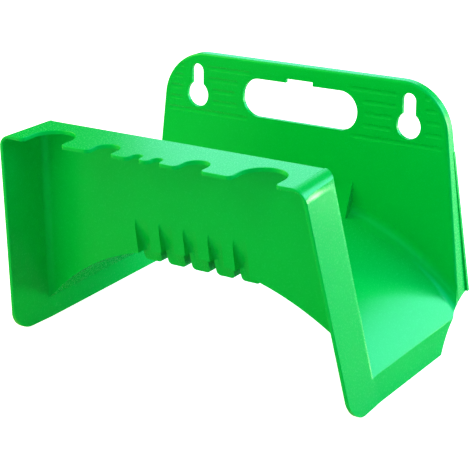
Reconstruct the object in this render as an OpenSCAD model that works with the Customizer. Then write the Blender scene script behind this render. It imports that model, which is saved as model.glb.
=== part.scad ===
// Wall hanger for a garden hose: one arched channel in 2.5 mm plastic, held by two
// screws in keyholes. The coil hangs over the saddle, and a slotted shelf on the front
// wall takes sprays and lances.
//
// Frame: X to the right, -Y out from the house wall, +Z up. The origin lies on the house
// wall, midway between the two keyhole entry circles. Sizes are in millimetres.

/* [Back plate] */
// Distance between the two screws
screw_spacing = 150; // [140:1:160]
// Diameter of the round entry of a keyhole
entry_d = 15.8; // [12:0.2:18]
// Width of the keyhole slot
slot_w = 8.8; // [6:0.2:10]
// Height of the slot's round end above the entry's centre
slot_rise = 14.7; // [12:0.1:16]
// Height of the plate's top edge above the screw line
plate_rise = 25.7; // [24:0.1:32]
// Radius of the two top corners
plate_corner_r = 30; // [24:1:34]
// Distance between the centres of the two top corners
plate_corner_spacing = 141.6; // [138:0.2:145]
// Backward lean of the plate, in degrees
plate_lean = 4.5; // [2:0.1:6]
// Distance from the house wall to the plate's front face, at the screw line
stand_off = 8.1; // [7:0.1:10]
// Wall thickness of the plate, the saddle and the front wall
sheet_t = 2.5; // [2:0.1:3]

/* [Rim] */
// Wall thickness of the rim that is turned back to the house wall
rim_t = 2.2; // [1.6:0.1:2.6]
// Width across the rim at the house wall, at the top edge's height
rim_wall_w = 193.3; // [191:0.1:194]
// Outward taper of the rim's sides, in degrees
rim_taper = 6; // [5:0.1:6.5]
// Draft that narrows the rim toward the house wall, in degrees
rim_draft = 8; // [6:0.1:9]
// Width of the lip at the lower end of each side of the rim
lip_w = 1.6; // [1:0.1:3]
// Width of the lip at its upper end
lip_top_w = 0.5; // [0.4:0.1:0.9]
// Thickness of the lip
lip_t = 2; // [1.5:0.1:3]
// Depth of the lip's upper end below the screw line
lip_top_drop = 14; // [6:1:30]

/* [Hand opening] */
// Length of the opening
opening_w = 81.4; // [70:0.1:86]
// Height of the opening
opening_h = 23.6; // [20:0.1:25]
// Height of the opening's centre above the screw line
opening_z = 3.1; // [2:0.1:5]
// Width of the step in the opening's top edge
step_w = 19; // [14:0.5:24]
// Height of that step
step_h = 2.5; // [1.5:0.1:3]

/* [Finger grooves] */
// Number of grooves across the plate
groove_count = 5; // [3:1:5]
// Distance from one groove to the next
groove_pitch = 7; // [6:0.1:7.2]
// Height of the top groove above the screw line
groove_top = 17.5; // [16:0.1:18]
// Width of a groove
groove_w = 1.4; // [1:0.1:2]
// Depth of a groove
groove_d = 0.6; // [0.3:0.1:0.8]
// Flat strip between the grooves and the holes or the rim
groove_clear = 1.4; // [1:0.1:2]
// Reach of the flat beside a keyhole's slot, on the side of the hand opening
flat_inner = 5.5; // [5.5:0.1:8]
// Reach of that flat on the side of the rim
flat_outer = 8.8; // [6:0.1:10]

/* [Saddle] */
// Radius of the saddle's upper face
saddle_r = 157; // [150:1:170]
// Depth of the saddle's crest below the screw line
saddle_drop = 54; // [52:0.5:58]

/* [Front wall] */
// Distance from the house wall to the front wall's face, at shelf height
wall_reach = 127.6; // [118:0.5:135]
// Forward lean of the front wall, in degrees
wall_lean = 5.8; // [3:0.1:7]

/* [Tool shelf] */
// Height of the shelf's top above the screw line
shelf_rise = 11.8; // [10:0.1:14]
// Thickness of the shelf
shelf_t = 2.2; // [1.8:0.1:3]
// Distance from the house wall to the shelf's front edge
shelf_reach = 159.7; // [154:0.5:163]
// Width of the two large slots
large_slot_w = 27; // [24:0.1:29]
// Distance of a large slot from the middle
large_slot_x = 70.3; // [66:0.1:74]
// Strip of shelf left between the front wall and a large slot
large_slot_land = 10.3; // [7:0.1:14]
// Width of the two medium slots
medium_slot_w = 15.2; // [12:0.1:18]
// Distance of a medium slot from the middle
medium_slot_x = 29.9; // [27:0.1:34]
// Strip left between the front wall and a medium slot
medium_slot_land = 17.6; // [14:0.1:20]
// Width of the two small slots
small_slot_w = 6.4; // [5:0.1:8]
// Distance of a small slot from the middle
small_slot_x = 6.8; // [6:0.1:9]
// Strip left between the front wall and a small slot
small_slot_land = 24.9; // [22:0.1:26]

/* [Side bands] */
// Thickness of a side band
band_t = 2.4; // [2:0.1:3]
// Half width of the bands at shelf height, measured at the wall behind the saddle
band_half_w = 98.9; // [97:0.1:103]
// Outward taper of a band, in degrees
band_taper = 7.9; // [7:0.1:8.6]
// Outward flare of a band ahead of the front wall, in degrees
band_flare = 3.7; // [1:0.1:5]
// Distance from the house wall to a band's front edge, at shelf height
band_reach = 160.1; // [160:0.1:164]
// Lean of a band's front edge, in degrees
band_edge_lean = 6.2; // [4:0.1:7]
// Depth of a band's lower edge below the screw line
band_drop = 119.7; // [116:0.1:124]
// Radius of a band's lower front corner
band_corner_r = 16; // [10:1:20]
// Distance from the house wall to where the flare starts
flare_start = 114; // [110:0.5:118]

/* [Rear cut] */
// Depth of the rim's lower end at the house wall, below the screw line
cut_wall_drop = 97.5; // [94:0.5:99]
// Distance from the house wall to where the cut meets the right band's lower edge
cut_foot_reach = 45.8; // [40:0.2:52]

/* [Gussets and saddle ribs] */
// Distance from one gusset to the next
gusset_pitch = 17; // [16:0.1:20]
// Width of a front gusset
front_gusset_w = 12.4; // [11:0.1:14]
// Width of a rear gusset
rear_gusset_w = 10.4; // [9:0.1:13]
// Depth of the gussets' top below the screw line
gusset_drop = 38; // [34:0.5:42]
// How far a gusset reaches in from its wall, at the saddle's crest
gusset_reach = 6; // [5:0.1:8]
// Wall thickness of gussets and saddle ribs
rib_wall = 1.4; // [1.2:0.1:1.8]
// Lean of the front pockets' floor below the saddle's crest, in degrees
pocket_foot_lean = 12; // [6:1:20]
// Depth of the saddle ribs' lower face below the screw line
rib_drop = 68; // [66:0.5:72]
// Radius of the ribs' lower edges
rib_r = 2.5; // [1.5:0.1:3]

/* [Hidden] */
$fn = 96;

// Colour of the plastic
leaf_green = [0.02, 0.72, 0.28];
// Length that reaches past the part in any direction
beyond = 400;
// How far a cut runs on past the face that it opens
past = 1;
// Facets around the saddle's wide curve in the preview
saddle_fn = 180;
// Steps in the arc of a rounded corner
corner_steps = 16;
// Number of gussets along each corner of the channel, one node each
gusset_count = 5;
// Height of the axis of the saddle's curve
saddle_axis_z = -saddle_drop - saddle_r;
// Radius of the saddle's lower face
saddle_under_r = saddle_r - sheet_t;
// Height of the saddle's lower face at its crest
crest_under_z = -saddle_drop - sheet_t;
// Radius of the rear cut, whose axis lies in the plane of the house wall
cut_r = (cut_foot_reach ^ 2 + (band_drop - cut_wall_drop) ^ 2) / (2 * (band_drop - cut_wall_drop));
// Distance from the middle to the rim's inner face, at its lower end on the house wall
rim_foot_x = rim_wall_w / 2 + (plate_rise + cut_wall_drop) * tan(rim_taper) - rim_t;
// Height of the shelf's lower face
shelf_under_z = shelf_rise - shelf_t;
// Width of the pocket inside a front gusset, and of the hollow inside a saddle rib
front_pocket_w = front_gusset_w - 2 * rib_wall;
// Width of the pocket inside a rear gusset
rear_pocket_w = rear_gusset_w - 2 * rib_wall;
// Change in Y for each millimetre of height: plate, front wall and a band's front edge
plate_slope = tan(plate_lean);
wall_slope = -tan(wall_lean);
edge_slope = -tan(band_edge_lean);

// Y of the plate's front face at height z
function plate_y(z) = -stand_off + z * plate_slope;
// Y of the front wall's face at height z
function wall_y(z) = -wall_reach + (z - shelf_rise) * wall_slope;
// Y of a band's front edge at height z
function edge_y(z) = -band_reach + (z - shelf_rise) * edge_slope;
// Half width of the rim at the house wall, at height z
function rim_half_w(z) = rim_wall_w / 2 + (plate_rise - z) * tan(rim_taper);
// X of gusset number i, counted from the left
function gusset_x(i) = (i - (gusset_count + 1) / 2) * gusset_pitch;
// Y of the floor of the front pockets at height z, bent at the saddle's crest
function floor_y(z) =
    let (top_y = wall_y(-gusset_drop), crest_y = wall_y(crest_under_z) + gusset_reach)
    z < crest_under_z
        ? crest_y + (crest_under_z - z) * tan(pocket_foot_lean)
        : top_y + (crest_y - top_y) * (z + gusset_drop) / (crest_under_z + gusset_drop);
// Side view of that floor from the ribs' lower face up to height z, moved back by inset
function floor_line(z, inset) =
    [for (level = [-rib_drop, crest_under_z, z]) [floor_y(level) + inset, level]];
// Y of the sloping face of the rear gussets at height z
function rear_face_y(z) =
    let (top_y = plate_y(-gusset_drop), crest_y = plate_y(-saddle_drop) - gusset_reach)
    top_y + (crest_y - top_y) * (z + gusset_drop) / (gusset_drop - saddle_drop);
// Points on an arc about c, from angle a0 to a1 in n steps
function arc(c, r, a0, a1, n) =
    [for (i = [0:n]) let (a = a0 + (a1 - a0) * i / n) c + r * [cos(a), sin(a)]];

// Turns a shape drawn in X and Z into a slab from y_front to y_back.
module slab(y_front, y_back) {
    translate([0, y_back, 0])
        rotate([90, 0, 0])
            linear_extrude(height = y_back - y_front)
                children();
}

// Turns a shape drawn in Y and Z into a prism of the given width, centred on x.
module prism(x, width) {
    translate([x - width / 2, 0, 0])
        rotate([90, 0, 90])
            linear_extrude(height = width)
                children();
}

// A bar along Y whose top is a face of the saddle.
module saddle_bar(radius) {
    translate([0, past, saddle_axis_z])
        rotate([90, 0, 0])
            cylinder(r = radius, h = wall_reach + 2 * past, $fn = saddle_fn);
}

// The round cut that clears the corner behind the saddle, below the rim's right side.
module rear_cut() {
    translate([0, 0, -cut_wall_drop - cut_r])
        rotate([0, 90, 0])
            cylinder(r = cut_r, h = beyond);
}

// A block whose right side is the face of a band, moved inward by inset.
module band_block(inset) {
    flare = (beyond - flare_start) * tan(band_flare);
    translate([band_half_w - inset, 0, shelf_rise])
        rotate([0, -band_taper, 0])
            translate([0, 0, -beyond / 2])
                linear_extrude(height = beyond)
                    polygon([[-beyond, past], [0, past], [0, -flare_start],
                             [flare, -beyond], [-beyond, -beyond]]);
}

// The space between the faces of both bands, with each face moved inward by inset.
module between_bands(inset) {
    intersection() {
        band_block(inset);
        mirror([1, 0, 0])
            band_block(inset);
    }
}

// A block whose right side is the rim's outer face, moved inward by inset.
module rim_block(inset) {
    translate([rim_wall_w / 2 - inset, 0, plate_rise])
        rotate([0, -rim_taper, 0])
            translate([0, 0, -beyond / 2])
                linear_extrude(height = beyond)
                    polygon([[-beyond, past], [-past * tan(rim_draft), past],
                             [beyond * tan(rim_draft), -beyond], [-beyond, -beyond]]);
}

// Front view of the plate's top edge and corners, drawn in by inset. The sides stay open.
module plate_top(inset) {
    corner_z = plate_rise - plate_corner_r;
    right = arc([plate_corner_spacing / 2, corner_z], plate_corner_r - inset, rim_taper, 90, corner_steps);
    left = [for (i = [len(right) - 1:-1:0]) [-right[i][0], right[i][1]]];
    polygon(concat([[beyond, -beyond]], right, left, [[-beyond, -beyond]]));
}

// The space inside the rim's outer face, moved inward by inset.
module rim_space(inset) {
    intersection() {
        slab(plate_y(-band_drop), 0)
            plate_top(inset);
        rim_block(inset);
        mirror([1, 0, 0])
            rim_block(inset);
    }
}

// Front view of the keyholes for the two screws.
module keyholes() {
    for (x = [-screw_spacing / 2, screw_spacing / 2])
        translate([x, 0]) {
            circle(d = entry_d);
            translate([0, slot_rise])
                circle(d = slot_w);
            translate([-slot_w / 2, 0])
                square([slot_w, slot_rise]);
        }
}

// Front view of the hand opening, with the step in its top edge.
module hand_opening() {
    end_x = (opening_w - opening_h) / 2;
    translate([0, opening_z]) {
        for (x = [-end_x, end_x])
            translate([x, 0])
                circle(d = opening_h);
        translate([-end_x, -opening_h / 2])
            square([2 * end_x, opening_h]);
        translate([-step_w / 2, 0])
            square([step_w, opening_h / 2 + step_h]);
    }
}

// Front view of the flats that keep the grooves clear of the holes.
module groove_flats() {
    end_x = (opening_w - opening_h) / 2;
    flat_r = opening_h / 2 + groove_clear;
    for (side = [0, 1])
        mirror([side, 0])
            translate([screw_spacing / 2, 0]) {
                circle(d = entry_d + 2 * groove_clear);
                translate([-flat_inner, 0])
                    square([flat_inner + flat_outer, plate_rise]);
            }
    translate([0, opening_z]) {
        for (x = [-end_x, end_x])
            translate([x, 0])
                circle(r = flat_r);
        translate([-end_x, -flat_r])
            square([2 * end_x, 2 * flat_r]);
        translate([-step_w / 2 - groove_clear, 0])
            square([step_w + 2 * groove_clear, flat_r + step_h]);
    }
}

// The finger grooves: level cuts into the plate's front face, between the flats.
module grooves() {
    intersection() {
        rim_space(rim_t + groove_clear);
        prism(0, beyond)
            polygon([[plate_y(-band_drop) - past, -band_drop], [plate_y(plate_rise) - past, plate_rise],
                     [plate_y(plate_rise) + groove_d, plate_rise],
                     [plate_y(-band_drop) + groove_d, -band_drop]]);
        slab(plate_y(-band_drop), 0)
            difference() {
                for (i = [0:groove_count - 1])
                    translate([-beyond / 2, groove_top - i * groove_pitch - groove_w / 2])
                        square([beyond, groove_w]);
                groove_flats();
            }
    }
}

// Pocket number i, open through the front wall and the saddle's front end.
module front_pocket(i) {
    prism(gusset_x(i), front_pocket_w)
        polygon(concat(floor_line(-gusset_drop, 0),
                       [[-wall_reach - past, -gusset_drop], [-wall_reach - past, -rib_drop]]));
}

// Pocket number i, open through the plate and the saddle's rear end.
module rear_pocket(i) {
    prism(gusset_x(i), rear_pocket_w)
        polygon([[rear_face_y(-gusset_drop) + rib_wall, -gusset_drop],
                 [rear_face_y(-rib_drop) + rib_wall, -rib_drop],
                 [past, -rib_drop], [past, -gusset_drop]]);
}

// The plate behind the coil, with keyholes, hand opening and finger grooves.
module wall_plate() {
    color(leaf_green)
    difference() {
        intersection() {
            rim_space(rim_t);
            prism(0, beyond)
                polygon([[plate_y(-band_drop), -band_drop], [plate_y(plate_rise), plate_rise],
                         [plate_y(plate_rise) + sheet_t, plate_rise],
                         [plate_y(-band_drop) + sheet_t, -band_drop]]);
        }
        slab(plate_y(-band_drop), 0) {
            keyholes();
            hand_opening();
        }
        grooves();
        saddle_bar(saddle_r);
        for (i = [1:gusset_count])
            rear_pocket(i);
        rear_cut();
    }
}

// The rim that is turned back from the plate's top and sides to the house wall.
module plate_rim() {
    color(leaf_green)
    difference() {
        intersection() {
            difference() {
                rim_space(0);
                rim_space(rim_t);
            }
            prism(0, beyond)
                polygon([[plate_y(-band_drop), -band_drop], [plate_y(plate_rise), plate_rise],
                         [0, plate_rise], [0, -band_drop]]);
        }
        saddle_bar(saddle_r);
        rear_cut();
    }
}

// The lip outside the right side of the rim, flat on the house wall.
module rim_lip() {
    color(leaf_green)
    difference() {
        slab(-lip_t, 0)
            polygon([[0, -lip_top_drop], [rim_half_w(-lip_top_drop) + lip_top_w, -lip_top_drop],
                     [rim_half_w(-cut_wall_drop) + lip_w, -cut_wall_drop], [0, -cut_wall_drop]]);
        rim_block(0);
        saddle_bar(saddle_r);
    }
}

// The arched sheet that carries the coil.
module saddle() {
    color(leaf_green)
    difference() {
        intersection() {
            difference() {
                saddle_bar(saddle_r);
                saddle_bar(saddle_under_r);
            }
            between_bands(band_t);
            union() {
                prism(0, beyond)
                    polygon([[wall_y(-band_drop), -band_drop], [wall_y(0), 0],
                             [plate_y(0) + sheet_t, 0], [plate_y(-band_drop) + sheet_t, -band_drop]]);
                // On the left, what lies below the rim runs on to the house wall.
                translate([-beyond - rim_foot_x, plate_y(-band_drop), -beyond])
                    cube([beyond, -plate_y(-band_drop), beyond]);
            }
        }
        for (i = [1:gusset_count])
            front_pocket(i);
        for (i = [1:gusset_count])
            rear_pocket(i);
        rear_cut();
    }
}

// The wall that keeps the coil on the saddle.
module front_wall() {
    color(leaf_green)
    difference() {
        intersection() {
            prism(0, beyond)
                polygon([[wall_y(-band_drop), -band_drop], [wall_y(shelf_under_z), shelf_under_z],
                         [wall_y(shelf_under_z) + sheet_t, shelf_under_z],
                         [wall_y(-band_drop) + sheet_t, -band_drop]]);
            between_bands(band_t);
        }
        saddle_bar(saddle_r);
        for (i = [1:gusset_count])
            front_pocket(i);
    }
}

// Cutting shape of one slot in the shelf, open at the front edge.
module shelf_slot(x, width, land) {
    translate([x, -wall_reach - land - width / 2, shelf_under_z - past]) {
        cylinder(d = width, h = shelf_t + 2 * past);
        translate([-width / 2, -shelf_reach, 0])
            cube([width, shelf_reach, shelf_t + 2 * past]);
    }
}

// The shelf on top of the front wall, with three slots on each side.
module tool_shelf() {
    color(leaf_green)
    difference() {
        intersection() {
            prism(0, beyond)
                polygon([[-shelf_reach, shelf_under_z], [-shelf_reach, shelf_rise],
                         [wall_y(shelf_rise) + sheet_t, shelf_rise],
                         [wall_y(shelf_under_z) + sheet_t, shelf_under_z]]);
            between_bands(0);
        }
        for (side = [-1, 1]) {
            shelf_slot(side * large_slot_x, large_slot_w, large_slot_land);
            shelf_slot(side * medium_slot_x, medium_slot_w, medium_slot_land);
            shelf_slot(side * small_slot_x, small_slot_w, small_slot_land);
        }
    }
}

// The band down the right side: a flange ahead of the front wall, and a skirt below the saddle.
// The skirt runs back to the house wall, or ends at the rear cut.
module side_band(cut) {
    corner_z = -band_drop + band_corner_r;
    corner_y = edge_y(corner_z) + band_corner_r / cos(band_edge_lean);
    color(leaf_green)
    difference() {
        intersection() {
            difference() {
                band_block(0);
                band_block(band_t);
            }
            // Side view of the outline: front edge, rounded lower corner and lower edge.
            prism(beyond / 2, beyond)
                polygon(concat([[0, shelf_under_z], [edge_y(shelf_under_z), shelf_under_z]],
                               arc([corner_y, corner_z], band_corner_r, 180 + band_edge_lean, 270,
                                   corner_steps),
                               [[0, -band_drop]]));
            union() {
                prism(beyond / 2, beyond)
                    polygon([[wall_y(shelf_under_z) + sheet_t, shelf_under_z], [-beyond, shelf_under_z],
                             [-beyond, -band_drop], [wall_y(-band_drop) + sheet_t, -band_drop]]);
                saddle_bar(saddle_r);
            }
        }
        if (cut)
            rear_cut();
    }
}

// A hollow wedge in the corner between the front wall and the saddle.
module front_gusset(i) {
    // Height at which the wedge leaves the back of the front wall
    leave_z = -gusset_drop + (crest_under_z + gusset_drop) * (sheet_t - rib_wall) / gusset_reach;
    color(leaf_green)
    difference() {
        prism(gusset_x(i), front_gusset_w)
            polygon(concat([[wall_y(-rib_drop) + sheet_t, -rib_drop]], floor_line(leave_z, rib_wall)));
        front_pocket(i);
        saddle_bar(saddle_r);
    }
}

// A hollow wedge in the corner between the plate and the saddle.
module rear_gusset(i) {
    color(leaf_green)
    difference() {
        prism(gusset_x(i), rear_gusset_w)
            polygon([[plate_y(-gusset_drop), -gusset_drop], [plate_y(-saddle_drop), -saddle_drop],
                     [rear_face_y(-saddle_drop), -saddle_drop]]);
        rear_pocket(i);
        saddle_bar(saddle_r);
    }
}

// Front view of a saddle rib, drawn in from its outer faces by inset.
module rib_outline(x, inset) {
    half_w = front_gusset_w / 2 - inset;
    r = rib_r - inset;
    low_z = -rib_drop + inset;
    translate([x, 0]) {
        for (side = [-1, 1])
            translate([side * (half_w - r), low_z + r])
                circle(r = r);
        translate([-half_w, low_z + r])
            square([2 * half_w, rib_drop]);
        translate([-half_w + r, low_z])
            square([2 * (half_w - r), rib_drop]);
    }
}

// A trough below the saddle that runs back from the foot of a front gusset.
module saddle_rib(i) {
    color(leaf_green)
    intersection() {
        difference() {
            slab(-wall_reach, 0)
                rib_outline(gusset_x(i), 0);
            intersection() {
                slab(-wall_reach, past)
                    rib_outline(gusset_x(i), rib_wall);
                prism(gusset_x(i), beyond)
                    polygon(concat(floor_line(0, rib_wall), [[past, 0], [past, -rib_drop]]));
            }
        }
        prism(gusset_x(i), beyond)
            polygon(concat(floor_line(-gusset_drop, 0),
                           [[plate_y(-gusset_drop) + sheet_t, -gusset_drop],
                            [plate_y(-rib_drop) + sheet_t, -rib_drop]]));
        saddle_bar(saddle_under_r);
    }
}

wall_plate();
plate_rim();
mirror([1, 0, 0]) rim_lip();  // rim_lip_left
rim_lip();  // rim_lip_right
saddle();
front_wall();
tool_shelf();
mirror([1, 0, 0]) side_band(false);  // side_band_left
side_band(true);  // side_band_right
front_gusset(1);  // front_gusset_1
front_gusset(2);  // front_gusset_2
front_gusset(3);  // front_gusset_3
front_gusset(4);  // front_gusset_4
front_gusset(5);  // front_gusset_5
rear_gusset(1);  // rear_gusset_1
rear_gusset(2);  // rear_gusset_2
rear_gusset(3);  // rear_gusset_3
rear_gusset(4);  // rear_gusset_4
rear_gusset(5);  // rear_gusset_5
saddle_rib(1);  // saddle_rib_1
saddle_rib(2);  // saddle_rib_2
saddle_rib(3);  // saddle_rib_3
saddle_rib(4);  // saddle_rib_4
saddle_rib(5);  // saddle_rib_5
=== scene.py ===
"""Wall hanger for a garden hose: one arched channel, moulded in green polypropylene.

The moulding is built the way its tool is: a solid for the outer faces, a solid for the
inner faces, and the wall that is left between them. Troughs, pockets and openings follow,
then the free edges are softened, and the finger grooves are cut last. Lengths are in
millimetres until a point is made.
"""

import logging
import math
from collections.abc import Callable, Iterable, Sequence
from dataclasses import dataclass, field
from enum import Enum

import bmesh
import bpy
from mathutils import Matrix, Vector


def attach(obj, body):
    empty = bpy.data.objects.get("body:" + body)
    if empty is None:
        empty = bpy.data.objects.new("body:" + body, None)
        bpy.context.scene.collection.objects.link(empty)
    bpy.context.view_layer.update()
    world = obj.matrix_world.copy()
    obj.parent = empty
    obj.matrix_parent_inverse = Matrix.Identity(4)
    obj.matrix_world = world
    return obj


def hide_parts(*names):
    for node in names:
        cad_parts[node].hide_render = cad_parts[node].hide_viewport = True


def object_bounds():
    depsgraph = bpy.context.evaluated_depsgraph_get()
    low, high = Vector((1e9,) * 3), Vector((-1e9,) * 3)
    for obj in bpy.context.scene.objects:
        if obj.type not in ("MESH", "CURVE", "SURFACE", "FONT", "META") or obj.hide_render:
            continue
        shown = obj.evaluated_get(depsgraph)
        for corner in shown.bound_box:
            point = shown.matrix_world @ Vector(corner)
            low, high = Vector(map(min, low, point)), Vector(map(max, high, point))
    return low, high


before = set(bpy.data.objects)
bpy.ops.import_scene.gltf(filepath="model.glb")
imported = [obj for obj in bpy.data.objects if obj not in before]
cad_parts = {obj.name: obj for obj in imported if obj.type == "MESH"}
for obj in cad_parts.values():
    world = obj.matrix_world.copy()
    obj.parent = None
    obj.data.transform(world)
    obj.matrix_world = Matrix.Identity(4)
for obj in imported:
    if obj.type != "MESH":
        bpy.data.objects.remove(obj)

LOG = logging.getLogger("hanger")
MM = 0.001
CAD_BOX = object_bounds()
WHITE = "FFFFFF"
HAIR = 0.02  # keeps faces that would coincide apart, too little to see
FAR = 60.0  # how far a tool solid reaches past what it opens
BEHIND = 20.0  # a Y behind the house wall, where tool solids end
NEAR = 1.0  # how near a line of the shape the corners of a plain solid are looked for
ON_FACE = 0.03  # how near a face a point lies that belongs to it
LONG = 5.0  # an edge that runs along a solid is longer than this
SHARP = math.radians(25)  # an edge folds at least this much to be rounded
FLAT = math.radians(0.05)  # faces that fold less are made one

Piece = bpy.types.Object
Corner = tuple[int, int, int]
Plane = Callable[[float], float] | float
Width = Callable[[float, float], float] | float


class Element(Enum):
    """What edit mode selects: points, edges or faces."""

    POINT = (True, False, False)
    EDGE = (False, True, False)
    FACE = (False, False, True)


class Join(Enum):
    """How one solid is worked into another."""

    ADD = "UNION"
    CUT = "DIFFERENCE"
    KEEP = "INTERSECT"


def at(x: float, y: float, z: float) -> Vector:
    """Gives a point in metres from millimetres."""
    return Vector((x, y, z)) * MM


# --- Bench: the few moves that every solid is made with ---


def clear_selection() -> None:
    """Leaves object mode on and nothing selected."""
    if bpy.context.object is not None and bpy.context.object.mode != "OBJECT":
        bpy.ops.object.mode_set(mode="OBJECT")
    bpy.ops.object.select_all(action="DESELECT")


def focus(piece: Piece) -> None:
    """Makes one piece the selected and active one.

    Args:
        piece: The piece to work on.
    """
    clear_selection()
    piece.select_set(True)
    bpy.context.view_layer.objects.active = piece


def take_new(name: str) -> Piece:
    """Names the primitive just added and puts its place into its mesh.

    Args:
        name: The name for the new solid.

    Returns:
        The new solid, at the origin, unturned and unscaled.
    """
    piece = bpy.context.object
    piece.name = piece.data.name = name
    bpy.ops.object.transform_apply(location=True, rotation=True, scale=True)
    return piece


def pick(piece: Piece, element: Element, test: Callable[..., bool]) -> int:
    """Goes into edit mode with only the elements selected that pass a test.

    Args:
        piece: The solid to select in.
        element: Whether points, edges or faces are selected.
        test: Tells whether one of these is wanted.

    Returns:
        How many were selected.
    """
    focus(piece)
    bpy.ops.object.mode_set(mode="EDIT")
    bpy.context.tool_settings.mesh_select_mode = element.value
    bpy.ops.mesh.select_all(action="DESELECT")
    mesh = bmesh.from_edit_mesh(piece.data)
    mesh.normal_update()
    groups = {Element.POINT: mesh.verts, Element.EDGE: mesh.edges, Element.FACE: mesh.faces}
    wanted = [item for item in groups[element] if test(item)]
    for item in wanted:
        item.select_set(True)
    mesh.select_flush_mode()
    bmesh.update_edit_mesh(piece.data)
    return len(wanted)


def done_editing() -> None:
    """Goes back to object mode."""
    bpy.ops.object.mode_set(mode="OBJECT")


def slide(piece: Piece, test: Callable[[Vector], bool], by: Vector) -> None:
    """Moves the points of a solid that pass a test.

    Args:
        piece: The solid.
        test: Tells from a point's place in millimetres whether it moves.
        by: How far it moves, in metres.
    """
    if pick(piece, Element.POINT, lambda point: test(point.co / MM)):
        bpy.ops.transform.translate(value=by)
    done_editing()


def block(name: str, place: Callable[[Corner], Vector]) -> Piece:
    """Adds a cube and moves each of its eight corners to its place.

    Args:
        name: The name of the solid.
        place: Gives the place in metres of a corner, named by its three signs.

    Returns:
        The solid, with flat faces.
    """
    clear_selection()
    bpy.ops.mesh.primitive_cube_add(size=2)
    piece = take_new(name)
    corners: list[Corner] = [(i, j, k) for i in (-1, 1) for j in (-1, 1) for k in (-1, 1)]
    for corner in corners:
        here = Vector(corner)
        slide(piece, lambda p, here=here: (p - here / MM).length < NEAR, place(corner) - here)
    return piece


def follow(line: Plane | Width, *place: float) -> float:
    """Gives what a line says for a place, or the number that stands for a line."""
    return line(*place) if callable(line) else line


def prism(
    name: str, low: float, high: float, front: Plane, rear: Plane, half: Width, middle: float = 0.0
) -> Piece:
    """Adds a solid with level ends between two faces that may lean, alike on both sides.

    Args:
        name: The name of the solid.
        low: The height of its lower face.
        high: The height of its upper face.
        front: Y of its front face, as a number or from a height.
        rear: Y of its rear face, as a number or from a height.
        half: Its half width, as a number or from a height and a depth.
        middle: X of its middle.

    Returns:
        The solid.
    """

    def place(corner: Corner) -> Vector:
        """Places a corner of the solid."""
        z = high if corner[2] > 0 else low
        y = follow(rear if corner[1] > 0 else front, z)
        return at(middle + corner[0] * follow(half, z, y), y, z)

    return block(name, place)


def bar(name: str, radius: float, start: Vector, end: Vector, sides: int, turn: float = 0.0) -> Piece:
    """Adds a round bar from one point to another.

    Args:
        name: The name of the solid.
        radius: Its radius in millimetres.
        start: The middle of its first end.
        end: The middle of its other end.
        sides: How many faces go round it.
        turn: By how many faces it is turned on its axis.

    Returns:
        The bar.
    """
    axis = end - start
    lie = axis.to_track_quat("Z", "Y") @ Matrix.Rotation(math.tau * turn / sides, 3, "Z").to_quaternion()
    clear_selection()
    bpy.ops.mesh.primitive_cylinder_add(
        vertices=sides, radius=radius * MM, depth=axis.length, location=(start + end) / 2,
        rotation=lie.to_euler(),
    )
    return take_new(name)


def slot_bar(name: str, radius: float, start: Vector, end: Vector, reach: Vector, sides: int) -> Piece:
    """Adds a bar whose one half is drawn out, so that its section is a slot with round ends.

    Args:
        name: The name of the solid.
        radius: The radius of its round ends in millimetres.
        start: The middle of its first end, at the round that stays.
        end: The middle of its other end.
        reach: How far the second half is drawn out.
        sides: How many faces go round both ends together.

    Returns:
        The slotted bar.
    """
    piece = bar(name, radius, start, end, sides, turn=0.5)
    way = reach.normalized()
    middle = start.dot(way)
    slide(piece, lambda p: (p * MM).dot(way) > middle, reach)
    return piece


def split(piece: Piece, place: Vector, across: Sequence[float]) -> None:
    """Divides the faces of a solid where a plane meets them.

    Args:
        piece: The solid.
        place: A point of the plane.
        across: The direction across the plane.
    """
    pick(piece, Element.FACE, lambda face: True)
    bpy.ops.mesh.bisect(plane_co=place, plane_no=across)
    done_editing()


def face_outwards(piece: Piece) -> None:
    """Turns the faces of a mirrored solid outwards.

    Args:
        piece: The solid.
    """
    pick(piece, Element.FACE, lambda face: True)
    bpy.ops.mesh.normals_make_consistent(inside=False)
    done_editing()


def combine(piece: Piece, tool: Piece, how: Join) -> Piece:
    """Adds a tool solid to a piece, cuts it out, or keeps what both share.

    Args:
        piece: The solid that stays.
        tool: The solid that is used up.
        how: What is done with it.

    Returns:
        The piece.
    """
    focus(piece)
    step = piece.modifiers.new(how.value.lower(), "BOOLEAN")
    step.operation = how.value
    step.solver = "EXACT"
    step.object = tool
    bpy.ops.object.modifier_apply(modifier=step.name)
    bpy.data.objects.remove(tool)
    return piece


def cut(piece: Piece, *tools: Piece) -> Piece:
    """Cuts tool solids out of a piece, one after the other."""
    for tool in tools:
        combine(piece, tool, Join.CUT)
    return piece


def add(piece: Piece, *tools: Piece) -> Piece:
    """Adds tool solids to a piece, one after the other."""
    for tool in tools:
        combine(piece, tool, Join.ADD)
    return piece


def round_edges(
    piece: Piece, test: Callable[[Vector, Vector], bool], width: float, steps: int, clamp: bool = True
) -> None:
    """Bevels the sharp edges of a solid that pass a test, and logs how many there were.

    Args:
        piece: The solid.
        test: Tells from an edge's two ends in millimetres whether it is rounded.
        width: How far the round reaches from the edge, in millimetres.
        steps: How many faces make the round.
        clamp: Whether the round is held narrow where short edges meet it.
    """

    def wanted(edge: bmesh.types.BMEdge) -> bool:
        """Tells whether an edge is sharp and passes the test."""
        if len(edge.link_faces) != 2 or edge.calc_face_angle(0.0) < SHARP:
            return False
        return test(edge.verts[0].co / MM, edge.verts[1].co / MM)

    count = pick(piece, Element.EDGE, wanted)
    if count:
        bpy.ops.mesh.bevel(
            offset=width * MM, offset_type="OFFSET", segments=steps, profile=0.5, affect="EDGES",
            clamp_overlap=clamp,
        )
    done_editing()
    LOG.info("%s: %d edges rounded", piece.name, count)


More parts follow.
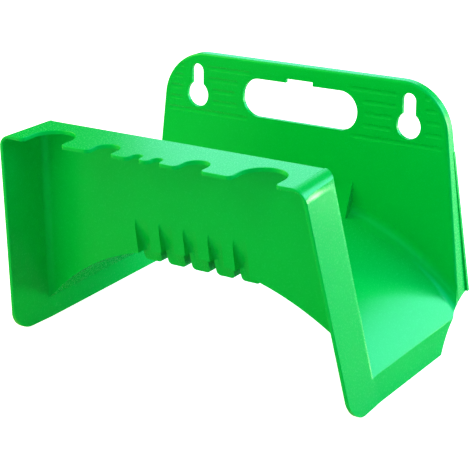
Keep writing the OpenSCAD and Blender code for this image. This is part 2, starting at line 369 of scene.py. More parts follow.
def tidy(piece: Piece, reach: float = 0.004) -> None:
    """Merges points that lie on each other and dissolves edges inside flat faces.

    Args:
        piece: The solid.
        reach: How near two points are to be one, in millimetres.
    """
    pick(piece, Element.POINT, lambda point: True)
    bpy.ops.mesh.remove_doubles(threshold=reach * MM)
    bpy.ops.mesh.select_all(action="SELECT")
    bpy.ops.mesh.dissolve_limited(angle_limit=FLAT)
    done_editing()


# --- The lines that the faces of the hanger follow ---


@dataclass(frozen=True)
class Lines:
    """The leaning planes and the curve that the hanger's sheets lie on."""

    plate_stand_off: float = 8.13
    plate_slope: float = 0.0782
    plate_top: float = 25.7
    plate_corner: float = 30.0
    wall_front: float = -127.57
    wall_slope: float = -0.1008
    edge_front: float = -160.1
    edge_slope: float = -0.1085
    shelf_top: float = 11.8
    band_half_width: float = 98.92
    band_taper: float = 0.1394
    flare_start: float = -114.0
    flare: float = 0.058
    band_bottom: float = -119.7
    rim_half_width: float = 96.64
    rim_taper: float = 0.105
    rim_draft: float = 0.14
    arch_radius: float = 157.0
    arch_axis: float = -211.0
    sheet: float = 2.5
    band_sheet: float = 2.4
    shelf_sheet: float = 2.2
    rim_sheet: float = 2.2
    slots_end: float = 90.0

    def plate_y(self, z: float) -> float:
        """Gives Y of the plate's front face at a height."""
        return -self.plate_stand_off + z * self.plate_slope

    def wall_y(self, z: float) -> float:
        """Gives Y of the front wall's recessed face at a height."""
        return self.wall_front + (z - self.shelf_top) * self.wall_slope

    def edge_y(self, z: float) -> float:
        """Gives Y of the front edge of the bands and the shelf at a height."""
        return self.edge_front + (z - self.shelf_top) * self.edge_slope

    def band_x(self, z: float) -> float:
        """Gives X of the right band's outer face at a height, behind its bend."""
        return self.band_half_width + self.band_taper * (self.shelf_top - z)

    def flared_x(self, z: float, y: float) -> float:
        """Gives X of the right band's outer face at a height and depth, ahead of its bend."""
        return self.band_x(z) + self.flare * (self.flare_start - y)

    def rim_x(self, z: float, y: float) -> float:
        """Gives X of the rim's right outer face at a height and depth."""
        return self.rim_half_width + self.rim_taper * (self.plate_top - z) - self.rim_draft * y


LINES = Lines()


@dataclass(frozen=True)
class CornerCut:
    """The round cut that clears the right corner behind the saddle and below the rim."""

    wall: float = -97.5
    foot_y: float = -45.8
    foot: float = -119.7
    reach: float = 150.0
    sides: int = 192

    def tool(self, drop: float) -> Piece:
        """Builds the solid that makes the cut.

        Args:
            drop: How far below its true place the cut is made.

        Returns:
            The solid, from the middle of the hanger to beyond its right side.
        """
        rise = self.wall - self.foot
        radius = (self.foot_y**2 + rise**2) / (2 * rise)
        axis = self.wall - radius - drop
        return bar("corner_cut", radius, at(0, 0, axis), at(self.reach, 0, axis), self.sides)


# --- Front body: shelf, front wall and the two bands ---


@dataclass
class FrontBody:
    """The wall that holds the coil on the saddle, with its shelf and its side bands."""

    fold: float = 8.0
    fold_inside: float = 4.0
    fold_steps: int = 10
    top_edge: float = 1.2
    top_steps: int = 4
    lower_corner: float = 14.4
    lower_start: float = -140.0
    corner_steps: int = 12

    def round_folds(self, piece: Piece, top: float, width: float) -> None:
        """Rounds the folds from the shelf and from the front wall to the bands.

        Args:
            piece: The solid.
            top: The height of its upper face.
            width: How far each round reaches.
        """
        high, back = top - NEAR, LINES.wall_y(top) - NEAR

        def fold(a: Vector, b: Vector) -> bool:
            """Tells whether an edge lies at one side, along the upper or the rear face."""
            at_side = abs(a.x) > LINES.slots_end and a.x * b.x > 0
            return at_side and (min(a.z, b.z) > high or min(a.y, b.y) > back)

        round_edges(piece, fold, width, self.fold_steps)

    def outer(self) -> Piece:
        """Builds the solid inside the outer faces, with its folds rounded.

        Returns:
            The solid, from the front edges to the wall's face in the channel.
        """
        top, low = LINES.shelf_top, LINES.band_bottom
        depth = LINES.sheet / math.cos(math.atan(LINES.wall_slope))
        piece = prism("front_outer", low, top, LINES.edge_y, lambda z: LINES.wall_y(z) + depth,
                      LINES.flared_x)
        self.round_folds(piece, top, self.fold)
        round_edges(piece, lambda a, b: max(a.z, b.z) < low + NEAR and max(a.y, b.y) < self.lower_start,
                    self.lower_corner, self.corner_steps)
        back, high = LINES.wall_y(top) - 2 * NEAR, top - NEAR
        round_edges(piece, lambda a, b: min(a.y, b.y) > back and min(a.z, b.z) > high and a.x * b.x < 0,
                    self.top_edge, self.top_steps)
        return piece

    def inner(self) -> Piece:
        """Builds the solid of the recess below the shelf, ahead of the front wall.

        Returns:
            The solid, which runs on past the front and lower edges.
        """
        top, low = LINES.shelf_top - LINES.shelf_sheet, LINES.band_bottom - FAR
        inset = LINES.band_sheet * math.hypot(1.0, LINES.band_taper)
        piece = prism("front_inner", low, top, lambda z: LINES.edge_y(z) - FAR, LINES.wall_y,
                      lambda z, y: LINES.flared_x(z, y) - inset)
        self.round_folds(piece, top, self.fold_inside)
        return piece


# --- Saddle body: the arch and the skirts below it ---


@dataclass
class SaddleBody:
    """The arched sheet that carries the coil, with a skirt down each side."""

    plate_fillet: float = 8.0
    fillet_steps: int = 8
    fillet_reach: float = 14.0
    longest_facet: float = 9.0
    skirt_edge: float = 1.4
    skirt_steps: int = 5
    shoulder_x: float = 114.0
    shoulder_z: float = -104.4
    shoulder_near: float = 1.5
    round_sides: int = 256
    top: float = -40.0
    start: float = -127.0
    overlap: float = 8.0
    outside: float = 160.0
    beneath: float = -170.0
    clear: float = 2.5 * HAIR

    def arch(self, name: str, radius: float, start: float, end: float) -> Piece:
        """Adds the bar whose top is a face of the saddle, from one Y to another."""
        return bar(name, radius, at(0, start, LINES.arch_axis), at(0, end, LINES.arch_axis),
                   self.round_sides)

    def slab(self, name: str, inset: float, low: float, start: float, end: Plane) -> Piece:
        """Builds the solid between the faces of the bands, behind the front wall.

        Args:
            name: The name of the solid.
            inset: How far its sides lie inside the bands' outer faces.
            low: The height of its lower face.
            start: Where it starts in Y.
            end: Where it ends in Y, as a number or from a height.

        Returns:
            The solid, bent where the bands begin to flare.
        """
        inset *= math.hypot(1.0, LINES.band_taper)
        piece = prism(name, low, self.top, start, end, lambda z, y: LINES.band_x(z) - inset)
        split(piece, at(0, LINES.flare_start, 0), (0, 1, 0))
        flare = LINES.flare * (LINES.flare_start - start)
        for side in (-1, 1):
            slide(piece, lambda p, side=side: p.y < start + NEAR and p.x * side > 0,
                  at(side * flare, 0, 0))
        return piece

    def channel(self) -> Piece:
        """Builds the space above the saddle, with the round that its rear corner leaves.

        Returns:
            The solid to cut from the slab.
        """
        space = prism("channel", self.beneath, 0.0, self.start - FAR,
                      lambda z: LINES.plate_y(z) + self.clear, self.outside)
        cut(space, self.arch("channel_arch", LINES.arch_radius, self.start - 2 * FAR, FAR))
        rear = LINES.plate_y(self.beneath) - NEAR

        def foot(a: Vector, b: Vector) -> bool:
            """Tells whether an edge is part of the arched line at the plate."""
            gaps = (math.hypot(p.x, p.z - LINES.arch_axis) - LINES.arch_radius for p in (a, b))
            on_arch = all(abs(gap) < NEAR / 2 for gap in gaps)
            return on_arch and min(a.y, b.y) > rear and (a - b).length < self.longest_facet

        round_edges(space, foot, self.plate_fillet, self.fillet_steps)
        return space

    def fillet_end(self, side: int) -> Piece:
        """Builds the space beside the plate, where its fillet has ended.

        Args:
            side: -1 for left, 1 for right.

        Returns:
            The solid to cut from the slab.
        """

        def place(corner: Corner) -> Vector:
            """Places a corner of the space."""
            z = self.top if corner[2] > 0 else LINES.band_bottom
            y = LINES.plate_y(z) + (self.clear if corner[1] > 0 else -self.fillet_reach)
            x = LINES.rim_x(z, y) if corner[0] * side < 0 else self.outside
            return at(side * x, y, z)

        space = block("fillet_end", place)
        if side < 0:
            face_outwards(space)
        return cut(space, self.arch("fillet_arch", LINES.arch_radius, -FAR, FAR))

    def behind(self) -> Piece:
        """Builds the space behind the plate's front face, above the saddle."""
        space = prism("behind", self.beneath, self.top + NEAR, lambda z: LINES.plate_y(z) + HAIR,
                      BEHIND, self.outside)
        return cut(space, self.arch("behind_arch", LINES.arch_radius, -FAR, FAR))

    def outer(self) -> Piece:
        """Builds the solid below the saddle's top, between the bands' outer faces.

        Returns:
            The solid, from inside the front wall to the house wall.
        """
        piece = self.slab("saddle_outer", HAIR, LINES.band_bottom + HAIR, self.start, -HAIR)
        cut(piece, self.channel(), self.fillet_end(-1), self.fillet_end(1), self.behind())
        cut(piece, CornerCut().tool(HAIR))
        tidy(piece)

        def shoulder(a: Vector, b: Vector) -> bool:
            """Tells whether an edge is the fold from the saddle to a skirt."""
            wide = min(abs(a.x), abs(b.x)) > self.shoulder_x
            level = all(abs(p.z - self.shoulder_z) < self.shoulder_near for p in (a, b))
            return wide and level and abs(a.y - b.y) > 2 * NEAR

        round_edges(piece, shoulder, self.skirt_edge, self.skirt_steps)
        return piece

    def inner(self) -> Piece:
        """Builds the space below the saddle, between the bands' inner faces.

        Returns:
            The solid, which runs on past the lower edges.
        """
        piece = self.slab("saddle_inner", LINES.band_sheet + HAIR, LINES.band_bottom - FAR,
                          self.start - self.overlap, BEHIND)
        under = self.arch("saddle_under", LINES.arch_radius - LINES.sheet, self.start - FAR, FAR)
        return combine(piece, under, Join.KEEP)


# --- Rear body: plate and rim ---


@dataclass
class RearBody:
    """The plate behind the coil, with the rim that is turned back to the house wall."""

    front_edge: float = 1.6
    edge_steps: int = 4
    corner_steps: int = 24
    bottom: float = -112.0
    lip_thickness: float = 2.0
    lip_top: float = -14.0
    lip_foot: float = -97.5
    lip_top_width: float = 0.5
    lip_foot_width: float = 1.6
    lip_sunk: float = 1.5
    right_lip_more: float = 3.0

    def shell(self, name: str, inset: float, front: float, back: float, low: float) -> Piece:
        """Builds a solid inside the rim, with the two round upper corners.

        Args:
            name: The name of the solid.
            inset: How far it lies inside the rim's outer face.
            front: How far it lies behind the plate's front face.
            back: Where it ends in Y.
            low: The height of its lower face.

        Returns:
            The solid.
        """
        top = LINES.plate_top - inset
        piece = prism(name, low, top, lambda z: LINES.plate_y(z) + front, back,
                      lambda z, y: LINES.rim_x(z, y) - inset)
        turn = math.pi / 2 - math.atan(LINES.rim_taper)
        width = (LINES.plate_corner - inset) * math.tan(turn / 2)
        round_edges(piece, lambda a, b: min(a.z, b.z) > top - NEAR and a.x * b.x > 0, width,
                    self.corner_steps)
        return piece

    def outer(self) -> Piece:
        """Builds the solid inside the plate's front face and the rim's outer face.

        Returns:
            The solid, with the edge round the plate softened.
        """
        piece = self.shell("rear_outer", 0.0, 0.0, 0.0, self.bottom)

        def front(a: Vector, b: Vector) -> bool:
            """Tells whether an edge runs round the front face, above its foot."""
            on_face = all(abs(p.y - LINES.plate_y(p.z)) < ON_FACE for p in (a, b))
            return on_face and max(a.z, b.z) > self.bottom + NEAR

        round_edges(piece, front, self.front_edge, self.edge_steps)
        return piece

    def inner(self) -> Piece:
        """Builds the space behind the plate, inside the rim and past its lower and rear ends."""
        depth = LINES.sheet * math.hypot(1.0, LINES.plate_slope)
        return self.shell("rear_inner", LINES.rim_sheet, depth, BEHIND, self.bottom - FAR)

    def lip(self, side: int) -> Piece:
        """Builds the lip that lies on the house wall outside one side of the rim.

        Args:
            side: -1 for left, 1 for right.

        Returns:
            The lip, sunk a little into the rim.
        """
        foot = self.lip_foot - (self.right_lip_more if side > 0 else 0.0)

        def place(corner: Corner) -> Vector:
            """Places a corner of the lip."""
            z = self.lip_top if corner[2] > 0 else foot
            y = 0.0 if corner[1] > 0 else -self.lip_thickness
            share = (self.lip_top - z) / (self.lip_top - self.lip_foot)
            width = self.lip_top_width + share * (self.lip_foot_width - self.lip_top_width)
            out = LINES.rim_x(z, 0.0) + width
            x = out if corner[0] * side > 0 else LINES.rim_x(z, 0.0) - self.lip_sunk
            return at(side * x, y, z)

        piece = block("rim_lip", place)
        if side < 0:
            face_outwards(piece)
        return piece


# --- Gussets and troughs ---


@dataclass
class GussetRow:
    """Five hollow wedges along each corner of the channel, with a trough under the saddle."""

    count: int = 5
    pitch: float = 17.0
    top: float = -38.0
    reach: float = 6.0
    wall: float = 1.4
    front_width: float = 12.4
    rear_width: float = 10.4
    trough_foot: float = -68.0
    trough_corner: float = 2.5
    crest: float = -54.0
    foot_slope: float = 0.2126
    sunk: float = 1.0
    least: float = 0.1
    mouth: float = -140.0
    rear_end: float = 4.0
    pocket_round: float = 2.6
    pocket_steps: int = 6
    trough_steps: int = 5

    def places(self) -> Iterable[float]:
        """Gives X of each gusset, from left to right."""
        return ((i - (self.count - 1) / 2) * self.pitch for i in range(self.count))

    def face_y(self, z: float) -> float:
        """Gives Y of the sloping line of the front wedges at a height, without a bend."""
        under = self.crest - LINES.sheet
        start, end = LINES.wall_y(self.top), LINES.wall_y(under) + self.reach
        return start + (end - start) * (z - self.top) / (under - self.top)

    def floor_y(self, z: float) -> float:
        """Gives Y of the floor of the front pockets at a height, with its bend at the crest."""
        under = self.crest - LINES.sheet
        return self.face_y(max(z, under)) + max(0.0, under - z) * self.foot_slope

    def rear_y(self, z: float) -> float:
        """Gives Y of the sloping face of the rear wedges at a height."""
        start, end = LINES.plate_y(self.top), LINES.plate_y(self.crest) - self.reach
        return start + (end - start) * (z - self.top) / (self.crest - self.top)

    def front_wedge(self, x: float) -> Piece:
        """Builds the outside of one front gusset, which nowhere lies flush with the wall."""
        return prism("front_wedge", self.trough_foot, self.top, lambda z: LINES.wall_y(z) + self.sunk,
                     lambda z: max(self.face_y(z) + self.wall, LINES.wall_y(z) + self.sunk + self.least),
                     self.front_width / 2, x)

    def rear_wedge(self, x: float) -> Piece:
        """Builds the outside of one rear gusset."""
        return prism("rear_wedge", self.trough_foot, self.top, self.rear_y,
                     lambda z: LINES.plate_y(z) + self.sunk, self.rear_width / 2, x)

    def front_pocket(self, x: float) -> Piece:
        """Builds the pocket that opens through the front wall, with its floor bent and rounded.

        Args:
            x: The middle of the pocket.

        Returns:
            The solid that cuts the pocket.
        """
        under, inside = self.crest - LINES.sheet, self.mouth + NEAR
        top, foot = self.top + NEAR, self.trough_foot - NEAR
        piece = prism("front_pocket", foot, top, self.mouth, self.floor_y,
                      (self.front_width - 2 * self.wall) / 2, x)
        split(piece, at(0, 0, under), (0, 0, 1))
        low, high = self.floor_y(foot), self.floor_y(top)
        share = (under - foot) / (top - foot)
        bend = self.floor_y(under) - (low + (high - low) * share)
        slide(piece, lambda p: abs(p.z - under) < NEAR / 2 and p.y > inside, at(0, bend, 0))
        round_edges(piece, lambda a, b: min(a.y, b.y) > inside and abs(a.z - b.z) > LONG,
                    self.pocket_round, self.pocket_steps)
        return piece

    def rear_pocket(self, x: float) -> Piece:
        """Builds the pocket that opens through the plate."""
        return prism("rear_pocket", self.trough_foot + 3 * self.wall, self.top,
                     lambda z: self.rear_y(z) + self.wall, self.rear_end,
                     (self.rear_width - 2 * self.wall) / 2, x)

    def trough(self, name: str, x: float, inset: float, start: Plane, end: Plane) -> Piece:
        """Builds the outside or the hollow of one trough.

        Args:
            name: The name of the solid.
            x: The middle of the trough.
            inset: How far it lies inside the trough's outer faces.
            start: Y of its front end, as a number or from a height.
            end: Y of its rear end, as a number or from a height.

        Returns:
            The solid, with its lower edges rounded.
        """
        foot = self.trough_foot + inset
        piece = prism(name, foot, self.crest, start, end, self.front_width / 2 - inset, x)
        round_edges(piece, lambda a, b: max(a.z, b.z) < foot + NEAR / 2 and abs(a.y - b.y) > LONG,
                    self.trough_corner - inset, self.trough_steps)
        return piece


# --- Openings ---


@dataclass(frozen=True)
class ShelfSlot:
    """One slot in the right half of the shelf, open at the front edge."""

    x: float
    width: float
    inner_end: float
    below: float = 7.0
    above: float = 4.0
    sides: int = 64

    def tool(self, side: int) -> Piece:
        """Builds the solid that cuts the slot.

        Args:
            side: -1 for its mirror image on the left, 1 for right.

        Returns:
            The solid.
        """
        radius = self.width / 2
        x, y = side * self.x, self.inner_end - radius
        low, high = LINES.shelf_top - self.below, LINES.shelf_top + self.above
        return slot_bar("slot_tool", radius, at(x, y, low), at(x, y, high), at(0, -FAR, 0), self.sides)


@dataclass
class Openings:
    """The openings that are cut through the sheets: slots, keyholes and the hand opening."""

    slots: tuple[ShelfSlot, ...] = (
        ShelfSlot(70.3, 27.0, -137.9),
        ShelfSlot(29.9, 15.2, -145.2),
        ShelfSlot(6.8, 6.4, -152.5),
    )
    cut_start: float = -30.0
    cut_end: float = -4.0
    screw_x: float = 75.0
    entry: float = 15.8
    neck: float = 8.8
    neck_rise: float = 14.7
    opening_end: float = 28.9
    opening_radius: float = 11.8
    opening_z: float = 3.1
    step_half: float = 9.5
    step_rise: float = 2.5
    step_lap: float = 4.0
    entry_sides: int = 64
    neck_sides: int = 48
    opening_sides: int = 96

    def keyhole(self, side: int) -> tuple[Piece, Piece]:
        """Builds the entry circle and the neck of one keyhole.

        Args:
            side: -1 for left, 1 for right.

        Returns:
            The two solids that cut it.
        """
        x = side * self.screw_x
        start, end = at(x, self.cut_start, 0), at(x, self.cut_end, 0)
        entry = bar("entry_tool", self.entry / 2, start, end, self.entry_sides, turn=0.5)
        neck = slot_bar("neck_tool", self.neck / 2, start, end, at(0, 0, self.neck_rise),
                        self.neck_sides)
        return entry, neck

    def hand_opening(self) -> tuple[Piece, Piece]:
        """Builds the solids that cut the hand opening and the step in its upper edge.

        Returns:
            The two solids.
        """
        x, z = -self.opening_end, self.opening_z
        slot = slot_bar("opening_tool", self.opening_radius, at(x, self.cut_start, z),
                        at(x, self.cut_end, z), at(-2 * x, 0, 0), self.opening_sides)
        top = z + self.opening_radius
        step = prism("step_tool", top - self.step_lap, top + self.step_rise, self.cut_start,
                     self.cut_end, self.step_half)
        return slot, step


@dataclass
class Grooves:
    """Five level grooves across the plate that give the fingers a grip."""

    heights: tuple[float, ...] = (17.5, 10.5, 3.5, -3.5, -10.5)
    width: float = 3.0
    depth: float = 0.5
    fade: float = 3.5
    clear: float = 1.6
    flat_inner: float = 5.5
    flat_outer: float = 8.8
    shortest: float = 1.0
    corner_middle: float = 70.8
    end_gap: float = 0.1
    sides: int = 64

    def spans(self, z: float, holes: Openings) -> list[tuple[float, float]]:
        """Gives the stretches of a groove on the right half, from the middle outwards.

        Args:
            z: The height of the groove.
            holes: The openings that it keeps clear of.

        Returns:
            Pairs of start and end in X.
        """
        outer = self.outline_x(z) - self.clear
        reach = holes.opening_radius + self.clear + self.width / 2
        rise = z - holes.opening_z
        start = 0.0
        if abs(rise) < reach:
            start = holes.opening_end + math.sqrt(reach * reach - rise * rise)
        elif 0 < rise < reach + holes.step_rise:
            start = holes.step_half + self.clear
        if z < -holes.entry / 2:
            return [(start, outer)]
        ring = holes.entry / 2 + self.clear
        bulge = math.sqrt(max(ring * ring - z * z, 0.0))
        near = holes.screw_x - max(self.flat_inner, bulge)
        far = holes.screw_x + max(self.flat_outer, bulge)
        return [span for span in ((start, near), (far, outer)) if span[1] > span[0] + self.shortest]

    def outline_x(self, z: float) -> float:
        """Gives the plate's half width at a height, with its round corner.

        Args:
            z: The height.

        Returns:
            The half width of the front face.
        """
        side = LINES.rim_x(z, LINES.plate_y(z))
        centre = LINES.plate_top - LINES.plate_corner
        if z <= centre:
            return side
        return min(side, self.corner_middle + math.sqrt(LINES.plate_corner**2 - (z - centre) ** 2))

    def tools(self, holes: Openings) -> Iterable[Piece]:
        """Builds the bars that cut the grooves.

        Args:
            holes: The openings that the grooves keep clear of.

        Returns:
            One bar for each stretch.
        """
        for z in self.heights:
            for near, far in self.spans(z, holes):
                ends = [(near, far), (-far, -near)] if near > 0 else [(-far, far)]
                for x0, x1 in ends:
                    yield self.tool(x0, x1, z)

    def tool(self, x0: float, x1: float, z: float) -> Piece:
        """Builds the bar that cuts one stretch, thinner towards both ends.

        Args:
            x0: Where it starts in X.
            x1: Where it ends in X.
            z: Its height.

        Returns:
            The bar.
        """
        radius = (self.width**2 / 4 + self.depth**2) / (2 * self.depth)
        y = LINES.plate_y(z) + self.depth - radius
        piece = bar("groove_tool", radius, at(x0, y, z), at(x1, y, z), self.sides)
        fade = min(self.fade, (x1 - x0) / 3)
        for x in (x0 + fade, x1 - fade):
            split(piece, at(x, 0, 0), (1, 0, 0))
        share = (radius - self.depth - self.end_gap) / radius
        for x in (x0, x1):
            pick(piece, Element.POINT, lambda point, x=x: abs(point.co.x / MM - x) < NEAR / 2)
            bpy.ops.transform.resize(value=(1, share, share), center_override=at(x, y, z))
            done_editing()
        return piece


# --- The whole moulding ---


@dataclass
class Moulding:
    """The hanger as one piece of plastic."""

    front: FrontBody = field(default_factory=FrontBody)
    saddle: SaddleBody = field(default_factory=SaddleBody)
    rear: RearBody = field(default_factory=RearBody)
    gussets: GussetRow = field(default_factory=GussetRow)
    holes: Openings = field(default_factory=Openings)
    grooves: Grooves = field(default_factory=Grooves)
    trough_span: tuple[float, float] = (-150.0, 10.0)
    trough_lap: float = 1.0
    hollow_gap: float = 0.01
    hollow_end: float = 6.0
    shelf_rear: float = -135.0
    holes_foot: float = -9.0
    merge: float = 0.01
    slack: float = 0.1
    smooth: float = 32.0
    soft_edge: float = 0.6
    soft_steps: int = 3
    slot_corner: float = 3.0
    slot_steps: int = 5
    hole_edge: float = 0.3
    hole_steps: int = 2

    def outer(self) -> Piece:
        """Builds the solid inside all outer faces.

        Returns:
            The solid.
        """
        piece = add(self.front.outer(), self.saddle.outer(), self.rear.outer())
        for x in self.gussets.places():
            add(piece, self.gussets.front_wedge(x), self.gussets.rear_wedge(x))
        return piece

    def inner(self) -> Piece:
        """Builds the solid that leaves the sheets standing when it is cut out."""
        return add(self.front.inner(), self.saddle.inner(), self.rear.inner())

    def troughs(self, piece: Piece) -> None:
        """Adds the troughs below the saddle and opens their hollows and the pockets.

        Args:
            piece: The moulding.
        """
        row, under = self.gussets, LINES.arch_radius - LINES.sheet
        for x in row.places():
            outside = row.trough("trough", x, 0.0, lambda z: row.floor_y(z) - HAIR,
                                 lambda z: LINES.plate_y(z) + LINES.sheet)
            top = self.saddle.arch("trough_top", under + self.trough_lap, *self.trough_span)
            add(piece, combine(outside, top, Join.KEEP))
        for x in row.places():
            hollow = row.trough("hollow", x, row.wall, lambda z: row.floor_y(z) + row.wall,
                                self.hollow_end)
            top = self.saddle.arch("hollow_top", under - self.hollow_gap, *self.trough_span)
            cut(piece, combine(hollow, top, Join.KEEP), row.front_pocket(x), row.rear_pocket(x))

    def open_up(self, piece: Piece) -> None:
        """Cuts slots, keyholes, hand opening and the corner behind the saddle.

        Args:
            piece: The moulding.
        """
        cut(piece, CornerCut().tool(0.0))
        for slot in self.holes.slots:
            cut(piece, slot.tool(-1), slot.tool(1))
        for side in (-1, 1):
            cut(piece, *self.holes.keyhole(side))
        cut(piece, *self.holes.hand_opening())

    def soften(self, piece: Piece) -> None:
        """Rounds slot corners, the free edges at the front and the edges of the plate's holes.

        Args:
            piece: The moulding, still without its grooves.
        """

        def at_front(p: Vector) -> bool:
            """Tells whether a point lies in the plane of the front edges."""
            return abs(p.y - LINES.edge_y(p.z)) < ON_FACE

        def free(a: Vector, b: Vector) -> bool:
            """Tells whether an edge lies in the shelf's top or in the plane of the front edges."""
            on_top = all(abs(p.z - LINES.shelf_top) < ON_FACE for p in (a, b))
            return (on_top and max(a.y, b.y) < self.shelf_rear) or (at_front(a) and at_front(b))

        def slot_corner(a: Vector, b: Vector) -> bool:
            """Tells whether an edge is where a slot's side meets the shelf's front edge."""
            upright = abs(a.z - b.z) > LINES.shelf_sheet - self.slack and abs(a.x - b.x) < self.slack
            return upright and all(at_front(p) and abs(p.x) < LINES.slots_end for p in (a, b))

        def hole(a: Vector, b: Vector) -> bool:
            """Tells whether an edge lies in the plate's front face, where its holes are."""
            on_face = all(abs(p.y - LINES.plate_y(p.z)) < ON_FACE for p in (a, b))
            return on_face and min(a.z, b.z) > self.holes_foot

        tidy(piece, self.merge)
        round_edges(piece, slot_corner, self.slot_corner, self.slot_steps, clamp=False)
        round_edges(piece, free, self.soft_edge, self.soft_steps, clamp=False)
        round_edges(piece, hole, self.hole_edge, self.hole_steps, clamp=False)

    def build(self) -> Piece:
        """Builds the moulding.

        Returns:
            The finished mesh.
        """
        piece = cut(self.outer(), self.inner())
        add(piece, self.rear.lip(-1), self.rear.lip(1))
        self.troughs(piece)
        self.open_up(piece)
        self.soften(piece)
        cut(piece, *self.grooves.tools(self.holes))
        piece.name = piece.data.name = "hanger_moulding"
        focus(piece)
        bpy.ops.object.shade_smooth_by_angle(angle=math.radians(self.smooth))
        even = piece.modifiers.new("even_faces", "WEIGHTED_NORMAL")
        even.keep_sharp = True
        bpy.ops.object.modifier_apply(modifier=even.name)
        return piece


# --- Camera ---


@dataclass(frozen=True)
class Viewpoint:
    """Where the camera stands and how it is turned, in degrees."""

    place: tuple[float, float, float] = (507.48, -782.85, 270.37)
    azimuth: float = 35.777
    elevation: float = 20.679
    roll: float = -2.4403
    lens: float = 122.62
    sensor: float = 36.0
    clip: tuple[float, float] = (0.05, 20.0)

    def build(self) -> None:
        """Adds the camera and makes it the scene's."""
        a, e, r = (math.radians(v) for v in (self.azimuth, self.elevation, self.roll))
        look = Vector((-math.sin(a) * math.cos(e), math.cos(a) * math.cos(e), -math.sin(e)))
        level = Vector((math.cos(a), math.sin(a), 0.0))
        up = level.cross(look)
        across = level * math.cos(r) + up * math.sin(r)
        upright = up * math.cos(r) - level * math.sin(r)
        data = bpy.data.cameras.new("view")
        data.lens, data.sensor_width, data.sensor_fit = self.lens, self.sensor, "HORIZONTAL"
        data.clip_start, data.clip_end = self.clip
        camera = bpy.data.objects.new("view", data)
        bpy.context.scene.collection.objects.link(camera)
        turn = Matrix((across, upright, -look)).transposed().to_4x4()
        camera.matrix_world = Matrix.Translation(at(*self.place)) @ turn
        bpy.context.scene.camera = camera


# --- Finishes ---


def linear(code: str) -> tuple[float, float, float, float]:
    """Turns an sRGB hex code into a linear colour.

    Args:
        code: Six hex digits.

    Returns:
        Red, green, blue and an alpha of one.
    """
    parts = [int(code[i : i + 2], 16) / 255 for i in (0, 2, 4)]
    red, green, blue = (p / 12.92 if p <= 0.04045 else ((p + 0.055) / 1.055) ** 2.4 for p in parts)
    return red, green, blue, 1.0


def add_node(
    tree: bpy.types.NodeTree, kind: str, settings: dict[str, object] | None = None,
    inputs: dict[str | int, object] | None = None,
) -> bpy.types.Node:
    """Adds one node, with its settings and with what goes into its sockets.

    Args:
        tree: The tree that it goes into.
        kind: What its type name says after "ShaderNode".
        settings: Values for the node's own properties.
        inputs: A value or another node's socket for each named input.

    Returns:
        The node.
    """
    node = tree.nodes.new("ShaderNode" + kind)
    for name, value in (settings or {}).items():
        setattr(node, name, value)
    for name, value in (inputs or {}).items():
        if isinstance(value, bpy.types.NodeSocket):
            tree.links.new(value, node.inputs[name])
        else:
            node.inputs[name].default_value = value
    return node


def empty_tree(owner: bpy.types.Material | bpy.types.World) -> bpy.types.NodeTree:
    """Gives a new material or world a node tree without nodes."""
    owner.use_nodes = True
    owner.node_tree.nodes.clear()
    return owner.node_tree


@dataclass(frozen=True)
class MouldedPolypropylene:
    """Polypropylene from an injection mould with a fine satin texture, coloured right through.

    The mould's texture gives a broad soft gloss instead of a mirror, with a faint sparkle of
    grain where a light lies in it. The colour varies by a few per cent with the flow.
    """

    colour: str = "00C456"
    flow_colour: str = "00BC51"
    gloss_tint: str = "20FFF0"
    gloss: float = 0.25
    index: float = 1.49
    roughness: float = 0.25
    roughness_spread: float = 0.05
    grain: float = 0.9
    grain_depth: float = 0.045
    grain_detail: float = 2.0
    grain_harshness: float = 0.6
    grain_range: tuple[float, float] = (0.3, 0.7)
    flow: float = 45.0
    flow_detail: float = 3.0

    def build(self) -> bpy.types.Material:
        """Makes the material.

        Returns:
            The material.
        """
        finish = bpy.data.materials.new("satin_moulded_polypropylene")
        tree = empty_tree(finish)
        place = add_node(tree, "TexCoord").outputs["Object"]
        flow = add_node(tree, "TexNoise", inputs={
            "Vector": place, "Scale": 1 / (self.flow * MM), "Detail": self.flow_detail,
        })
        colour = add_node(tree, "Mix", {"data_type": "RGBA"}, {
            0: flow.outputs["Fac"], 6: linear(self.colour), 7: linear(self.flow_colour),
        })
        grain = add_node(tree, "TexNoise", inputs={
            "Vector": place, "Scale": 1 / (self.grain * MM), "Detail": self.grain_detail,
            "Roughness": self.grain_harshness,
        })
        bump = add_node(tree, "Bump", inputs={
            "Height": grain.outputs["Fac"], "Distance": self.grain_depth * MM, "Strength": 1.0,
        })
        rough = add_node(tree, "MapRange", inputs={
            "Value": grain.outputs["Fac"],
            "From Min": self.grain_range[0],
            "From Max": self.grain_range[1],
            "To Min": self.roughness - self.roughness_spread,
            "To Max": self.roughness + self.roughness_spread,
        })
        shader = add_node(tree, "BsdfPrincipled", inputs={
            "Base Color": colour.outputs[2],
            "Roughness": rough.outputs["Result"],
            "Normal": bump.outputs["Normal"],
            "IOR": self.index,
            "Specular IOR Level": self.gloss,
            "Specular Tint": linear(self.gloss_tint),
        })
        add_node(tree, "OutputMaterial", inputs={"Surface": shader.outputs["BSDF"]})
        return finish


# --- Studio ---


@dataclass(frozen=True)
class SoftLight:
    """One square soft light: where it hangs, what it faces, its width and its power."""

    name: str
    place: tuple[float, float, float]
    width: float
    power: float
    colour: str
    target: tuple[float, float, float] = (0.0, -0.09, -0.05)

    def build(self) -> None:
        """Adds the light."""
        data = bpy.data.lights.new(self.name, "AREA")
        data.shape, data.size, data.energy = "SQUARE", self.width, self.power
        data.color = linear(self.colour)[:3]
        lamp = bpy.data.objects.new(self.name, data)
        bpy.context.scene.collection.objects.link(lamp)
        lamp.location = self.place
        lamp.rotation_euler = (Vector(self.target) - lamp.location).to_track_quat("-Z", "Y").to_euler()


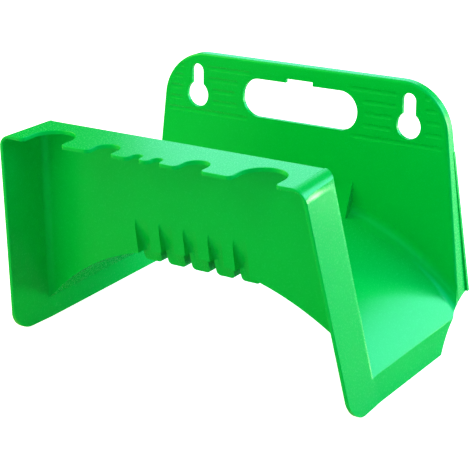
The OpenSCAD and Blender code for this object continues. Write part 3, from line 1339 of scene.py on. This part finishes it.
@dataclass(frozen=True)
class Studio:
    """A pale floor, a white surround and soft lights."""

    ambient: float = 0.06
    floor_size: float = 6.0
    floor_gap: float = 0.0002
    floor_lift: float = 1.0
    paper: str = "E0E0E0"
    lights: tuple[SoftLight, ...] = (
        SoftLight("key", (0.9, 0.35, 0.9), 0.9, 11.2, "88F0FF"),
        SoftLight("left", (-1.0, -0.2, 0.8), 0.9, 15.0, "F4FF90"),
        SoftLight("front", (-0.5, -1.3, 0.3), 1.0, 5.9, "F4FF70"),
        SoftLight("top", (0.2, -0.9, 1.0), 0.9, 6.0, "FFFFC0"),
        SoftLight("back_right", (0.6, 0.9, 0.47), 0.5, 7.4, "B8F4FF"),
        SoftLight("back_left", (-0.48, 0.88, 0.43), 0.6, 2.8, "A8ECFF"),
        SoftLight("under", (0.5, 0.7, 0.0), 0.2, 4.8, "E8FFC0", (-0.1, -0.05, -0.1)),
    )

    def floor(self) -> None:
        """Adds the floor below the bands."""
        clear_selection()
        low = CAD_BOX[0][2] - self.floor_gap
        bpy.ops.mesh.primitive_plane_add(size=self.floor_size, location=(0, 0, low))
        floor = take_new("floor")
        finish = bpy.data.materials.new("white_studio_paper")
        tree = empty_tree(finish)
        path = add_node(tree, "LightPath")
        paper = add_node(tree, "BsdfDiffuse", inputs={"Color": linear(self.paper)})
        lift = add_node(tree, "Math", {"operation": "MULTIPLY"}, {
            0: path.outputs["Is Camera Ray"], 1: self.floor_lift,
        })
        glow = add_node(tree, "Emission", inputs={
            "Color": linear(WHITE), "Strength": lift.outputs[0],
        })
        both = add_node(tree, "AddShader", inputs={
            0: paper.outputs["BSDF"], 1: glow.outputs["Emission"],
        })
        add_node(tree, "OutputMaterial", inputs={"Surface": both.outputs["Shader"]})
        floor.data.materials.append(finish)

    def surround(self) -> None:
        """Makes the world white to the eye and evenly pale as a light."""
        world = bpy.data.worlds.new("surround")
        bpy.context.scene.world = world
        tree = empty_tree(world)
        path = add_node(tree, "LightPath")
        seen = add_node(tree, "Math", {"operation": "MAXIMUM"}, {
            0: path.outputs["Is Camera Ray"], 1: path.outputs["Is Transmission Ray"],
        })
        strength = add_node(tree, "MapRange", inputs={
            "Value": seen.outputs[0], "To Min": self.ambient, "To Max": 1.0,
        })
        sky = add_node(tree, "Background", inputs={
            "Color": linear(WHITE), "Strength": strength.outputs["Result"],
        })
        add_node(tree, "OutputWorld", inputs={"Surface": sky.outputs["Background"]})

    def build(self) -> None:
        """Adds the floor, the surround and the lights."""
        self.floor()
        self.surround()
        for light in self.lights:
            light.build()
        bpy.context.scene.view_settings.view_transform = "Standard"


def main() -> None:
    """Builds the camera, the moulding and the studio, in that order."""
    logging.basicConfig(level=logging.INFO, format="%(name)s: %(message)s")
    Viewpoint().build()
    moulding = Moulding().build()
    moulding.data.materials.append(MouldedPolypropylene().build())
    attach(moulding, "root")
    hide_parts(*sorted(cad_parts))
    LOG.info("moulding: %d faces", len(moulding.data.polygons))
    Studio().build()


if __name__ == "__main__":
    main()
